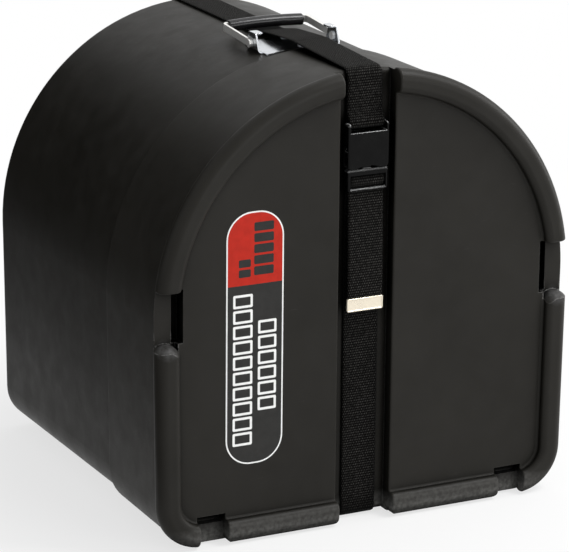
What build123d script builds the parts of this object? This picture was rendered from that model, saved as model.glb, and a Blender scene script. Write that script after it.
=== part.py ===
from build123d import *
import math
import os

# Moulded case for a floor tom, standing on its flat base. Millimetres.
# X runs across the lid's face, Y from the lid's face to the back wall, Z up.
# The origin is on the floor, under the middle of the whole case.
# A "depth" is measured back from the foremost line of the lid's rim bead,
# and an "inset" is measured in from the bead's outermost line.

# Outline of the case, seen from the front
case_half_width = 228.0
case_height = 462.0
side_lean = 0.7
bead_corner_radius = 48.0

# Shells
shell_depth = 423.0
lid_depth = 133.0
shell_wall = 3.5
lid_clearance = 0.6
band_inset = 2.6
mouth_inset = 4.5
body_mouth_setback = 14.5
rear_round = 11.0
mouth_round = 1.0

# Rim bead and face of the lid
bead_width = 24.0
bead_front_round = 10.5
bead_side_flat = 1.0
bead_rear_round = 6.5
panel_depth = 9.8
panel_rim_round = 7.0
panel_foot_round = 2.5
bead_hollow_depth = 5.0
bead_hollow_margin = 4.0

# Strap channel down the face
channel_half_width = 30.0
channel_depth = 22.4
channel_rim_round = 2.0
channel_end_round = 5.5

# Moulded notches in the bead
slot_bead_overlap = 3.5
slot_width = 10.0
slot_depth = 25.0
bridge_setback = 2.0
side_notch_rise = 4.0
side_notch_length = 53.0
side_notch_round = 2.0
nose_radius = 15.0
base_notch_margin = 61.0
base_notch_length = 30.0
base_notch_round = 1.5
base_corner_rise = 9.0
base_corner_radius = 10.0

# Skid ribs under the body's rear
skid_spread = 105.0
skid_width = 24.0
skid_length = 110.0
skid_rear_margin = 30.0
skid_corner_round = 8.0
skid_edge_round = 3.0

# Foam lining
lining_thickness = 8.0
lining_gap = 0.2
pad_thickness = 10.0
pad_corner_round = 12.0
pad_clearance = 0.5

# Webbing
strap_width = 38.0
strap_thickness = 1.9
strap_gap = 0.2
strap_layer_gap = 0.25
strap_bend = 3.0
strap_crest_bend = 40.0
strap_mouth_rise = 5.6
strap_crest_setback = 12.0
strap_crest_rise = 0.3
strap_rear_rise = 3.0
strap_ramp = 30.0
strap_base_ramp = 17.0
strap_break = 0.6
turn_slack = 0.05

# Handle plate with its two ears
plate_lid_gap = 13.0
plate_length = 54.0
plate_thickness = 1.6
plate_gap = 0.15
plate_corner_round = 5.0
ear_spread = 45.8
ear_base_length = 30.0
ear_top_length = 14.0
ear_height = 19.0
ear_lip = 9.0
ear_lip_round = 2.5
ear_bend_round = 3.0
ear_fold_round = 1.2
backing_thickness = 1.5
backing_width = 44.0
backing_corner_round = 4.0

# Rivets
rivet_pitch = 38.0
rivet_radius = 2.4
rivet_head_radius = 4.2
rivet_head_height = 0.9
rivet_tail_radius = 3.6
rivet_tail_height = 1.0
rivet_hole_gap = 0.05
pivot_height = 8.0
pivot_radius = 2.6
pivot_clearance = 0.08
pivot_head_radius = 4.2
pivot_head_height = 1.4
pivot_head_round = 0.9

# Bail and grip
bail_gap = 0.3
bail_thickness = 2.6
bail_bar_height = 7.2
bail_corner_radius = 6.6
bail_reach = 63.5
grip_end_gap = 0.1
grip_radius = 6.0
grip_arch = 1.4
grip_end_round = 1.2
grip_bore_gap = 0.05
grip_strap_gap = 1.4

# Buckle socket
buckle_floor_gap = 8.8
socket_top_drop = 53.5
socket_length = 45.5
socket_strap_gap = 0.8
socket_thickness = 11.0
socket_corner_round = 3.4
socket_edge_round = 2.0
socket_wall = 1.8
socket_side_wall = 3.2
socket_cavity_length = 26.0
socket_window_length = 22.0
socket_frame_length = 9.0
socket_rail_width = 2.6
socket_bar_height = 4.2
socket_bar_thickness = 3.6
socket_bar_setback = 2.3
mouth_arch = 3.0
mouth_arch_half_width = 14.0

# Buckle plug
plug_gap = 0.35
plug_strap_gap = 0.4
plug_thickness = 9.4
plug_corner_round = 3.0
plug_edge_round = 2.0
plug_base_length = 6.0
ladder_length = 16.5
ladder_rail_width = 2.6
ladder_slot_height = 3.0
middle_bar_height = 3.4
middle_bar_thickness = 3.2
end_bar_height = 3.0
end_bar_thickness = 3.4
end_bar_forward = 2.2
tongue_width = 8.0
tongue_thickness = 4.6
tongue_length = 24.0
tongue_round = 1.8

# Buckle prongs: heights above the plug's shoulder, insets from the plug's side
prong_gap = 0.3
prong_root_inset = 7.7
prong_root_radius = 2.3
prong_thickness = 5.2
prong_waist_height = 10.0
prong_waist_inset = 6.2
prong_barb_start = 12.0
prong_barb_end = 18.0
prong_tip_height = 24.0
prong_tip_inset = 4.4
prong_tip_width = 4.2
prong_round = 0.8

# Sewn end: starts above the socket's top, ends below the case's top
sewn_start = 9.5
sewn_end_drop = 14.0
stitch_field_start = 12.0
stitch_field_margin = 7.5
stitch_side_margin = 4.0
stitch_columns = 5
stitch_rows = 6
stitch_length = 2.6
stitch_width = 0.7
stitch_height = 0.18

# Loose end and its metal tip
tail_start_drop = 24.0
tail_layer_drop = 4.0
tail_hang_drop = 90.0
tail_floor_gap = 10.2
tail_length = 121.5
tip_height = 13.6
tip_wall = 0.5
tip_overhang = 0.8
tip_gap = 0.05
tip_round = 0.4

# Label
label_side_margin = 106.7
label_base_height = 78.0
label_top_drop = 128.0
label_width = 61.5
label_corner_round = 27.0
label_thickness = 0.3
label_gap = 0.1

cut = 1.0
snap = 0.01

# Places worked out from the sizes above
arc_centre_height = case_height - case_half_width
side_notch_height = arc_centre_height + side_notch_rise
base_notch_spread = case_half_width - base_notch_margin
base_notch_inner_x = base_notch_spread - base_notch_length / 2
bead_middle = bead_width / 2
slot_inset = bead_width - slot_bead_overlap
slot_far_inset = slot_inset + slot_width
bead_depth = bead_front_round + bead_side_flat + bead_rear_round
bridge_depth = bead_depth - bridge_setback
nose_height = side_notch_height - side_notch_length / 2 - nose_radius
nose_depth = bead_middle
lid_inner_depth = panel_depth + shell_wall
body_inset = mouth_inset + shell_wall + lid_clearance
body_mouth_depth = slot_depth + shell_wall + body_mouth_setback
body_radius = case_half_width - body_inset
body_top_height = case_height - body_inset
body_floor_depth = shell_depth - shell_wall
inner_rear_round = rear_round - shell_wall
lining_inset = body_inset + shell_wall + lining_gap
lining_end_depth = body_floor_depth - inner_rear_round
strap_offset = strap_gap + strap_thickness / 2
overall_depth = shell_depth + strap_gap + strap_thickness
front_y = -overall_depth / 2

plate_front_depth = lid_depth + plate_lid_gap
plate_middle_depth = plate_front_depth + plate_length / 2
plate_rear_depth = plate_front_depth + plate_length
plate_radius = body_radius + plate_gap
plate_outer_radius = plate_radius + plate_thickness
plate_middle_radius = plate_radius + plate_thickness / 2
ear_foot_height = arc_centre_height + math.sqrt(plate_middle_radius**2 - ear_spread**2)
ear_top_height = ear_foot_height + ear_height
ear_middle_x = ear_spread - plate_thickness / 2
bend_centre_x = ear_middle_x - ear_bend_round
bend_centre_radius = plate_middle_radius + ear_bend_round
bend_centre_height = arc_centre_height + math.sqrt(bend_centre_radius**2 - bend_centre_x**2)
backing_outer_radius = body_radius - shell_wall - plate_gap
backing_inner_radius = backing_outer_radius - backing_thickness
rivet_tail_end_radius = backing_inner_radius - rivet_hole_gap - rivet_tail_height
pivot_centre_height = ear_foot_height + pivot_height
ear_inner_x = ear_spread - plate_thickness
arm_inner_x = ear_spread + bail_gap
arm_middle_x = arm_inner_x + bail_thickness / 2
pivot_head_x = arm_inner_x + bail_thickness + bail_gap
grip_length = 2 * (arm_inner_x + bail_thickness - bail_corner_radius - grip_end_gap)

grip_lowest_height = body_top_height + strap_gap + strap_thickness + grip_strap_gap
bail_rise = grip_lowest_height + grip_radius - grip_arch / 2 - pivot_centre_height
plate_strap_height = arc_centre_height + plate_outer_radius + rivet_head_height + strap_offset
body_strap_top = body_top_height + strap_offset
body_strap_base = body_inset - strap_offset
body_strap_rear = shell_depth + strap_offset
lid_strap_top = case_height - mouth_inset + strap_offset + strap_mouth_rise
lid_strap_base = mouth_inset - strap_offset
face_strap_inset = band_inset - strap_offset
channel_layer_depth = channel_depth - strap_offset

socket_width = strap_width + 2 * (socket_strap_gap + socket_rail_width)
plug_width = strap_width + 2 * (plug_strap_gap + ladder_rail_width)
buckle_mid_depth = channel_depth - buckle_floor_gap
buckle_front_depth = buckle_mid_depth - socket_thickness / 2
socket_top_height = case_height - socket_top_drop
socket_base_height = socket_top_height - socket_length
socket_bar_depth = buckle_mid_depth + socket_bar_setback
socket_bar_base = socket_top_height - socket_bar_height
socket_turn = socket_bar_thickness / 2 + strap_offset
sewn_front_depth = channel_layer_depth - strap_thickness - strap_layer_gap
sewn_start_height = socket_top_height + sewn_start
sewn_end_height = case_height - sewn_end_drop
stitch_field_base = socket_top_height + stitch_field_start
stitch_field_top = sewn_end_height - stitch_field_margin
plug_top_height = socket_base_height - plug_gap
plug_base_height = plug_top_height - plug_base_length
ladder_base_height = plug_base_height - ladder_length
ladder_half_width = plug_width / 2 - ladder_rail_width
middle_bar_top = plug_base_height - ladder_slot_height
middle_bar_centre = middle_bar_top - middle_bar_height / 2
end_bar_centre = ladder_base_height + end_bar_height / 2
end_bar_depth = buckle_mid_depth - end_bar_forward
plug_turn = middle_bar_thickness / 2 + strap_offset
load_layer_depth = channel_layer_depth - strap_thickness - strap_gap
tail_layer_depth = end_bar_depth + end_bar_thickness / 2 + strap_offset
tail_hang_depth = channel_depth - tail_floor_gap
tail_end_height = ladder_base_height - tail_length
prong_reach = plug_width / 2
prong_root_middle = prong_reach - prong_root_inset
prong_waist_outer = prong_reach - prong_waist_inset
prong_tip_outer = prong_reach - prong_tip_inset
prong_tip_inner = prong_tip_outer - prong_tip_width


def station(depth):
    """Front-view plane at this depth; extruding by a negative amount goes rearward."""
    return Plane.XZ.offset(-(front_y + depth))


def case_outline(inset):
    """Round-topped outline with a flat base, drawn parallel to the bead's outermost line."""
    radius = case_half_width - inset
    lean = math.radians(side_lean)
    shoulder_x = radius * math.cos(lean)
    shoulder_z = arc_centre_height - radius * math.sin(lean)
    foot_x = shoulder_x - (shoulder_z - inset) * math.tan(lean)
    with BuildSketch() as outline:
        with BuildLine():
            CenterArc((0, arc_centre_height), radius, -side_lean, 180 + 2 * side_lean)
            Polyline(
                (-shoulder_x, shoulder_z),
                (-foot_x, inset),
                (foot_x, inset),
                (shoulder_x, shoulder_z),
            )
        make_face()
        fillet(outline.vertices().group_by(Axis.Y)[0], bead_corner_radius - inset)
    return outline.sketch


def depth_point(depth, height):
    """Point of a side view, given by its depth and its height."""
    return (front_y + depth, height)


def ring(radius, thickness):
    """Front-view ring about the centre of the case's round top."""
    with BuildSketch() as band:
        with Locations((0, arc_centre_height)):
            Circle(radius + thickness)
            Circle(radius, mode=Mode.SUBTRACT)
    return band.sketch


def full_height_strip(half_width):
    """Front-view strip down the middle of the face, taller than the case."""
    with BuildSketch() as strip:
        with Locations((0, arc_centre_height)):
            Rectangle(2 * half_width, 2 * case_height)
    return strip.sketch


def top_strip(half_width):
    """Front-view strip over the upper half of the case alone."""
    with BuildSketch() as strip:
        with Locations((0, arc_centre_height + case_half_width)):
            Rectangle(2 * half_width, 2 * case_half_width)
    return strip.sketch


def notch_rectangles(near_inset, far_inset, extra, nose):
    """Front-view rectangles over all four notches, between two insets, this much longer."""
    reach = far_inset - near_inset
    middle = (far_inset + near_inset) / 2
    with BuildSketch() as notches:
        for side in (-1, 1):
            with Locations((side * (case_half_width - middle), side_notch_height - nose / 2)):
                Rectangle(reach, side_notch_length + nose + 2 * extra)
            with Locations((side * base_notch_spread, middle)):
                Rectangle(base_notch_length + 2 * extra, reach)
    return notches.sketch


def webbing(points, bends):
    """Side-view section of the webbing along a centre line of straight runs and bends."""
    with BuildSketch() as section:
        with BuildLine():
            FilletPolyline(*points, radius=bends)
        trace(line_width=strap_thickness)
    return section.sketch


def flat_faces(piece, axis, place):
    """Flat faces of a piece that lie square to an axis at this place along it."""
    return piece.faces().filter_by(axis).filter_by_position(axis, place - snap, place + snap)


def bead_end_edges(piece, axis, place, cross_axis, inner_place):
    """Edges round the cut end of the bead, from its outer side to the notch's inner side."""
    outer_place = math.copysign(case_half_width, inner_place) if cross_axis == Axis.X else 0
    low, high = sorted((inner_place, outer_place))
    edges = flat_faces(piece, axis, place).edges().filter_by_position(cross_axis, low, high - snap)
    return edges.filter_by_position(Axis.Y, front_y - cut, front_y + bridge_depth - cut)


def rivet_planes(radius):
    """Planes square to the case's round top at both rivets of the handle, this far from its centre."""
    for depth in (plate_middle_depth - rivet_pitch / 2, plate_middle_depth + rivet_pitch / 2):
        yield Plane.XY.move(Location((0, front_y + depth, arc_centre_height + radius)))


os.makedirs("parts", exist_ok=True)

# Waste of the bead's four notches, which leaves a domed end below both side notches
with BuildPart() as notch_waste:
    with BuildSketch(station(-cut)):
        add(notch_rectangles(-cut, bead_width + cut, 0, nose_radius))
    extrude(amount=-(bridge_depth + cut))
    for side in (-1, 1):
        nose_x = side * (case_half_width - bead_middle)
        with Locations((nose_x, front_y + nose_depth, nose_height)):
            Sphere(nose_radius, mode=Mode.SUBTRACT)
        with BuildSketch(station(nose_depth)):
            with Locations((nose_x, nose_height)):
                Circle(nose_radius)
        extrude(amount=-bridge_depth, mode=Mode.SUBTRACT)

# Waste that rounds the base bead's bottom corners, beside the channel and the base notches
with BuildPart() as corner_waste:
    with BuildSketch(station(-cut)):
        for side in (-1, 1):
            for end_x, inward in ((channel_half_width, 1), (base_notch_inner_x, -1)):
                corner_x = side * (end_x - inward * cut)
                centre_x = side * (end_x + inward * base_corner_radius)
                with Locations(((corner_x + centre_x) / 2, (base_corner_rise - cut) / 2)):
                    Rectangle(base_corner_radius + cut, base_corner_rise + cut)
                with Locations((centre_x, base_corner_rise)):
                    Circle(base_corner_radius, mode=Mode.SUBTRACT)
    extrude(amount=-(bridge_depth + cut))

# Lid shell: band with the rim bead, recessed face, strap channel and four notches
with BuildPart() as lid_shell:
    with BuildSketch(station(0)):
        add(case_outline(0))
    extrude(amount=-bead_depth)
    fillet(lid_shell.faces().sort_by(Axis.Y)[0].edges(), bead_front_round)
    fillet(lid_shell.faces().sort_by(Axis.Y)[-1].edges(), bead_rear_round)
    with BuildSketch(station(0)):
        add(case_outline(bead_width))
    extrude(amount=-panel_depth, mode=Mode.SUBTRACT)
    fillet(flat_faces(lid_shell, Axis.Y, front_y + panel_depth).edges(), panel_foot_round)
    fillet(flat_faces(lid_shell, Axis.Y, front_y)[0].inner_wires()[0].edges(), panel_rim_round)
    with BuildSketch(station(bead_depth - bead_rear_round)):
        add(case_outline(band_inset))
    with BuildSketch(station(lid_depth)):
        add(case_outline(mouth_inset))
    loft(ruled=True)
    with BuildSketch(station(lid_inner_depth)):
        add(case_outline(band_inset + shell_wall))
    with BuildSketch(station(lid_depth)):
        add(case_outline(mouth_inset + shell_wall))
    loft(ruled=True, mode=Mode.SUBTRACT)
    with BuildSketch(station(lid_inner_depth)):
        add(case_outline(band_inset + shell_wall))
        add(case_outline(bead_width - bead_hollow_margin), mode=Mode.SUBTRACT)
        add(full_height_strip(channel_half_width + shell_wall), mode=Mode.SUBTRACT)
        add(notch_rectangles(0, slot_far_inset, shell_wall, nose_radius), mode=Mode.SUBTRACT)
    extrude(amount=lid_inner_depth - bead_hollow_depth, mode=Mode.SUBTRACT)
    with BuildSketch(station(panel_depth)):
        add(case_outline(band_inset + shell_wall / 2))
        add(full_height_strip(channel_half_width + shell_wall), mode=Mode.INTERSECT)
    extrude(amount=-(channel_depth + shell_wall - panel_depth))
    with BuildSketch(station(panel_depth)):
        add(case_outline(band_inset + shell_wall / 2))
        add(notch_rectangles(0, slot_far_inset + shell_wall, shell_wall, nose_radius), mode=Mode.INTERSECT)
    extrude(amount=-(bridge_depth + shell_wall - panel_depth))
    with BuildSketch(station(panel_depth)):
        add(notch_rectangles(slot_inset - shell_wall, slot_far_inset + shell_wall, shell_wall, 0))
    extrude(amount=-(slot_depth + shell_wall - panel_depth))
    with BuildSketch(station(-cut)):
        add(full_height_strip(channel_half_width))
    extrude(amount=-(channel_depth + cut), mode=Mode.SUBTRACT)
    add(notch_waste.part, mode=Mode.SUBTRACT)
    with BuildSketch(station(-cut)):
        add(notch_rectangles(slot_inset, slot_far_inset, 0, 0))
    extrude(amount=-(slot_depth + cut), mode=Mode.SUBTRACT)
    for side in (-1, 1):
        channel_wall = flat_faces(lid_shell, Axis.X, side * channel_half_width)
        wall_edges = channel_wall.edges().filter_by_position(Axis.Y, front_y - cut, front_y + bridge_depth)
        fillet(wall_edges, channel_rim_round)
    channel_floor = flat_faces(lid_shell, Axis.Y, front_y + channel_depth)
    fillet(channel_floor.edges().sort_by(Axis.Z)[0], channel_end_round)
    channel_floor = flat_faces(lid_shell, Axis.Y, front_y + channel_depth)
    fillet(channel_floor.edges().sort_by(Axis.Z)[-1], channel_end_round)
    fillet(flat_faces(lid_shell, Axis.Y, front_y + lid_depth).edges(), mouth_round)
    notch_top = side_notch_height + side_notch_length / 2
    bead_inner_x = case_half_width - slot_far_inset
    for side in (-1, 1):
        fillet(bead_end_edges(lid_shell, Axis.Z, notch_top, Axis.X, side * bead_inner_x), side_notch_round)
        for end in (-1, 1):
            notch_side = side * base_notch_spread + end * base_notch_length / 2
            fillet(bead_end_edges(lid_shell, Axis.X, notch_side, Axis.Z, slot_far_inset), base_notch_round)
    add(corner_waste.part, mode=Mode.SUBTRACT)
lid_shell.part.label = "lid_shell"
export_step(lid_shell.part, "parts/lid_shell.step")

# Foam pads behind the lid's face, one each side of the channel
for side, name in ((-1, "lid_pad_left"), (1, "lid_pad_right")):
    pad_inner_x = channel_half_width + shell_wall + pad_clearance
    with BuildPart() as lid_pad:
        with BuildSketch(station(lid_inner_depth + lining_gap)) as pad_outline:
            add(case_outline(slot_far_inset + shell_wall + pad_clearance))
            with Locations((side * (pad_inner_x + case_half_width / 2), arc_centre_height)):
                Rectangle(case_half_width, 2 * case_height, mode=Mode.INTERSECT)
            fillet(pad_outline.vertices().group_by(Axis.X)[-1 if side < 0 else 0], pad_corner_round)
        extrude(amount=-pad_thickness)
    lid_pad.part.label = name
    export_step(lid_pad.part, "parts/" + name + ".step")

# Hollow of the body, with a rounded rear
with BuildPart() as body_cavity:
    with BuildSketch(station(body_mouth_depth)):
        add(case_outline(body_inset + shell_wall))
    extrude(amount=-(body_floor_depth - body_mouth_depth))
    fillet(body_cavity.faces().sort_by(Axis.Y)[-1].edges(), inner_rear_round)

# Body shell: deep drum that slides inside the lid's band, with two skid ribs under its rear
with BuildPart() as body_shell:
    with BuildSketch(station(body_mouth_depth)):
        add(case_outline(body_inset))
    extrude(amount=-(shell_depth - body_mouth_depth))
    fillet(flat_faces(body_shell, Axis.Y, front_y + shell_depth).edges(), rear_round)
    add(body_cavity.part, mode=Mode.SUBTRACT)
    with BuildSketch():
        for x in (-skid_spread, skid_spread):
            with Locations((x, front_y + shell_depth - skid_rear_margin - skid_length / 2)):
                RectangleRounded(skid_width, skid_length, skid_corner_round)
    extrude(amount=body_inset + shell_wall / 2)
    fillet(flat_faces(body_shell, Axis.Z, 0).edges(), skid_edge_round)
    with BuildSketch(*rivet_planes(body_radius - shell_wall - cut)):
        Circle(rivet_radius + rivet_hole_gap)
    extrude(amount=shell_wall + 2 * cut, mode=Mode.SUBTRACT)
body_shell.part.label = "body_shell"
export_step(body_shell.part, "parts/body_shell.step")

# Foam lining round the body's wall, relieved under the handle's backing plate
with BuildPart() as body_wall_lining:
    with BuildSketch(station(body_mouth_depth + pad_clearance)):
        add(case_outline(lining_inset))
        add(case_outline(lining_inset + lining_thickness), mode=Mode.SUBTRACT)
    extrude(amount=-(lining_end_depth - body_mouth_depth - pad_clearance))
    with BuildSketch(station(plate_front_depth - cut)):
        add(ring(rivet_tail_end_radius - pad_clearance, lining_thickness))
        add(top_strip(backing_width / 2 + cut), mode=Mode.INTERSECT)
    extrude(amount=-(plate_length + 2 * cut), mode=Mode.SUBTRACT)
body_wall_lining.part.label = "body_wall_lining"
export_step(body_wall_lining.part, "parts/body_wall_lining.step")

# Foam pad on the body's rear wall
with BuildPart() as body_end_pad:
    with BuildSketch(station(body_floor_depth - lining_gap - pad_thickness)):
        add(case_outline(lining_inset + lining_thickness + lining_gap))
    extrude(amount=-pad_thickness)
body_end_pad.part.label = "body_end_pad"
export_step(body_end_pad.part, "parts/body_end_pad.step")

# Handle plate: curved to the body's top, with two upright ears folded inward at their tops
with BuildPart() as handle_plate:
    bend_angle = math.degrees(math.atan2(bend_centre_height - arc_centre_height, bend_centre_x))
    bend_turn = 90 - bend_angle
    with BuildSketch(station(plate_front_depth)):
        with BuildLine():
            CenterArc((0, arc_centre_height), plate_middle_radius, bend_angle, 180 - 2 * bend_angle)
            for side, start in ((-1, 180), (1, 270 - bend_turn)):
                bend_centre = (side * bend_centre_x, bend_centre_height)
                CenterArc(bend_centre, ear_bend_round, start, 90 + bend_turn)
                ear_x = side * ear_middle_x
                Line((ear_x, bend_centre_height), (ear_x, ear_top_height - plate_thickness / 2))
        trace(line_width=plate_thickness)
    extrude(amount=-plate_length)
    for side in (-1, 1):
        with BuildSketch(Plane.YZ.offset(side * bend_centre_x)):
            with Locations(depth_point(plate_middle_depth, ear_foot_height)):
                Rectangle(2 * plate_length, 2 * (ear_height + cut))
            with BuildLine():
                Polyline(
                    depth_point(plate_middle_depth - ear_base_length / 2, ear_foot_height - ear_height),
                    depth_point(plate_middle_depth - ear_base_length / 2, ear_foot_height),
                    depth_point(plate_middle_depth - ear_top_length / 2, ear_top_height + cut),
                    depth_point(plate_middle_depth + ear_top_length / 2, ear_top_height + cut),
                    depth_point(plate_middle_depth + ear_base_length / 2, ear_foot_height),
                    depth_point(plate_middle_depth + ear_base_length / 2, ear_foot_height - ear_height),
                    close=True,
                )
            make_face(mode=Mode.SUBTRACT)
        extrude(amount=side * plate_length, mode=Mode.SUBTRACT)
    plate_corners = handle_plate.edges().filter_by(Axis.Z).group_by(Axis.Y)
    fillet(plate_corners[0] + plate_corners[-1], plate_corner_round)
    for side in (-1, 1):
        with BuildSketch(Plane.XY.offset(ear_top_height - plate_thickness)) as lip_outline:
            with Locations((side * (ear_spread - ear_lip / 2), front_y + plate_middle_depth)):
                Rectangle(ear_lip, ear_top_length)
            fillet(lip_outline.vertices().group_by(Axis.X)[-1 if side < 0 else 0], ear_lip_round)
        extrude(amount=plate_thickness)
        fold = handle_plate.edges().filter_by(Axis.Y).filter_by_position(
            Axis.Z, ear_top_height - snap, ear_top_height + snap
        ).filter_by_position(Axis.X, side * ear_spread - snap, side * ear_spread + snap)
        fillet(fold, ear_fold_round)
        with BuildSketch(Plane.YZ.offset(side * ear_middle_x)):
            with Locations(depth_point(plate_middle_depth, pivot_centre_height)):
                Circle(pivot_radius + rivet_hole_gap)
        extrude(amount=plate_thickness, both=True, mode=Mode.SUBTRACT)
    with BuildSketch(*rivet_planes(plate_radius - cut)):
        Circle(rivet_radius + rivet_hole_gap)
    extrude(amount=plate_thickness + 2 * cut, mode=Mode.SUBTRACT)
handle_plate.part.label = "handle_plate"
export_step(handle_plate.part, "parts/handle_plate.step")

# Backing plate inside the body, under the handle
with BuildPart() as handle_backing_plate:
    with BuildSketch(station(plate_front_depth)):
        add(ring(backing_inner_radius, backing_thickness))
        add(top_strip(backing_width / 2), mode=Mode.INTERSECT)
    extrude(amount=-plate_length)
    fillet(handle_backing_plate.edges().filter_by(Axis.Z), backing_corner_round)
    with BuildSketch(*rivet_planes(backing_inner_radius - cut)):
        Circle(rivet_radius + rivet_hole_gap)
    extrude(amount=backing_thickness + 2 * cut, mode=Mode.SUBTRACT)
handle_backing_plate.part.label = "handle_backing_plate"
export_step(handle_backing_plate.part, "parts/handle_backing_plate.step")

# Rivets through the handle's plate, the body's wall and the backing plate
with BuildPart() as handle_rivets:
    with BuildSketch(*rivet_planes(rivet_tail_end_radius)):
        Circle(rivet_tail_radius)
    extrude(amount=rivet_tail_height)
    with BuildSketch(*rivet_planes(rivet_tail_end_radius)):
        Circle(rivet_radius)
    extrude(amount=plate_outer_radius - rivet_tail_end_radius)
    with BuildSketch(*rivet_planes(plate_outer_radius)):
        Circle(rivet_head_radius)
    extrude(amount=rivet_head_height)
handle_rivets.part.label = "handle_rivets"
export_step(handle_rivets.part, "parts/handle_rivets.step")

# Rivets that the bail turns on
with BuildPart() as handle_pivot_rivets:
    for side in (-1, 1):
        for near_x, far_x, radius in (
            (ear_inner_x - pivot_head_height, ear_inner_x, pivot_head_radius),
            (ear_inner_x, pivot_head_x, pivot_radius),
            (pivot_head_x, pivot_head_x + pivot_head_height, pivot_head_radius),
        ):
            with BuildSketch(Plane.YZ.offset(side * (near_x + far_x) / 2)):
                with Locations(depth_point(plate_middle_depth, pivot_centre_height)):
                    Circle(radius)
            extrude(amount=(far_x - near_x) / 2, both=True)
        fillet(handle_pivot_rivets.edges().sort_by(Axis.X)[-1 if side > 0 else 0], pivot_head_round)
handle_pivot_rivets.part.label = "handle_pivot_rivets"
export_step(handle_pivot_rivets.part, "parts/handle_pivot_rivets.step")

# Bail: flat bar bent to a U, drawn in the plane that it lies in when folded to the rear
bail_tilt = math.degrees(math.atan2(bail_rise, bail_reach))
bail_length = math.hypot(bail_rise, bail_reach)
pivot_point = (0, front_y + plate_middle_depth, pivot_centre_height)
bail_plane = Plane(origin=pivot_point, x_dir=(1, 0, 0), z_dir=Vector(0, 0, 1).rotate(Axis.X, bail_tilt))
with BuildPart() as handle_bail:
    with BuildSketch(bail_plane):
        with BuildLine():
            FilletPolyline(
                (-arm_middle_x, 0),
                (-arm_middle_x, bail_length),
                (arm_middle_x, bail_length),
                (arm_middle_x, 0),
                radius=bail_corner_radius - bail_thickness / 2,
            )
        trace(line_width=bail_thickness)
    extrude(amount=bail_bar_height / 2, both=True)
    for side in (-1, 1):
        with BuildSketch(Plane.YZ.offset(side * arm_middle_x)):
            with Locations(depth_point(plate_middle_depth, pivot_centre_height)):
                Circle(bail_bar_height / 2)
        extrude(amount=bail_thickness / 2, both=True)
        with BuildSketch(Plane.YZ.offset(side * arm_middle_x)):
            with Locations(depth_point(plate_middle_depth, pivot_centre_height)):
                Circle(pivot_radius + pivot_clearance)
        extrude(amount=bail_thickness, both=True, mode=Mode.SUBTRACT)
handle_bail.part.label = "handle_bail"
export_step(handle_bail.part, "parts/handle_bail.step")

# Grip: arched round moulding with a flat slot for the bail's cross bar
grip_centre = bail_plane.from_local_coords((0, bail_length, 0))
grip_station_shares = (-1, -1 / 2, 0, 1 / 2, 1)
with BuildPart() as handle_grip:
    for share in grip_station_shares:
        station_x = share * grip_length / 2
        rise = grip_arch * (1 / 2 - share**2)
        station_point = bail_plane.from_local_coords((station_x, bail_length, rise))
        with BuildSketch(Plane(origin=station_point, x_dir=bail_plane.y_dir, z_dir=(1, 0, 0))):
            Circle(grip_radius)
    loft()
    fillet(handle_grip.faces().filter_by(Axis.X).edges(), grip_end_round)
    with BuildSketch(Plane(origin=grip_centre, x_dir=bail_plane.y_dir, z_dir=(1, 0, 0))):
        Rectangle(bail_thickness + 2 * grip_bore_gap, bail_bar_height + 2 * grip_bore_gap)
    extrude(amount=grip_length, both=True, mode=Mode.SUBTRACT)
handle_grip.part.label = "handle_grip"
export_step(handle_grip.part, "parts/handle_grip.step")

# Strap over the handle's plate, down the rear and back under the body
with BuildPart() as strap_body_run:
    rear_bend = rear_round + strap_offset
    with BuildSketch(Plane.YZ):
        add(
            webbing(
                [
                    depth_point(lid_depth + strap_break, lid_strap_top),
                    depth_point(lid_depth + strap_crest_setback, lid_strap_top + strap_crest_rise),
                    depth_point(plate_rear_depth, plate_strap_height + strap_rear_rise),
                    depth_point(plate_rear_depth + strap_ramp, body_strap_top),
                    depth_point(body_strap_rear, body_strap_top),
                    depth_point(body_strap_rear, body_strap_base),
                    depth_point(lid_depth + strap_base_ramp, body_strap_base),
                    depth_point(lid_depth + strap_break, lid_strap_base),
                ],
                [strap_crest_bend, strap_crest_bend, strap_crest_bend, rear_bend, rear_bend, strap_bend],
            )
        )
    extrude(amount=strap_width / 2, both=True)
strap_body_run.part.label = "strap_body_run"
export_step(strap_body_run.part, "parts/strap_body_run.step")

# Strap over the lid and down its channel, looped round the socket's bar and sewn to itself
with BuildPart() as strap_upper_run:
    bar_front_depth = socket_bar_depth - socket_turn
    bar_rear_depth = socket_bar_depth + socket_turn
    top_bend = channel_end_round + strap_offset + channel_layer_depth - sewn_front_depth
    bar_bend = socket_turn - turn_slack
    with BuildSketch(Plane.YZ):
        add(
            webbing(
                [
                    depth_point(lid_depth, lid_strap_top),
                    depth_point(sewn_front_depth, case_height - face_strap_inset),
                    depth_point(sewn_front_depth, sewn_start_height),
                    depth_point(bar_front_depth, socket_top_height + cut),
                    depth_point(bar_front_depth, socket_bar_base - strap_offset),
                    depth_point(bar_rear_depth, socket_bar_base - strap_offset),
                    depth_point(bar_rear_depth, socket_top_height + strap_bend),
                    depth_point(channel_layer_depth, sewn_start_height),
                    depth_point(channel_layer_depth, sewn_end_height),
                ],
                [top_bend, strap_bend, strap_bend, bar_bend, bar_bend, strap_bend, strap_bend],
            )
        )
    extrude(amount=strap_width / 2, both=True)
strap_upper_run.part.label = "strap_upper_run"
export_step(strap_upper_run.part, "parts/strap_upper_run.step")

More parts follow.
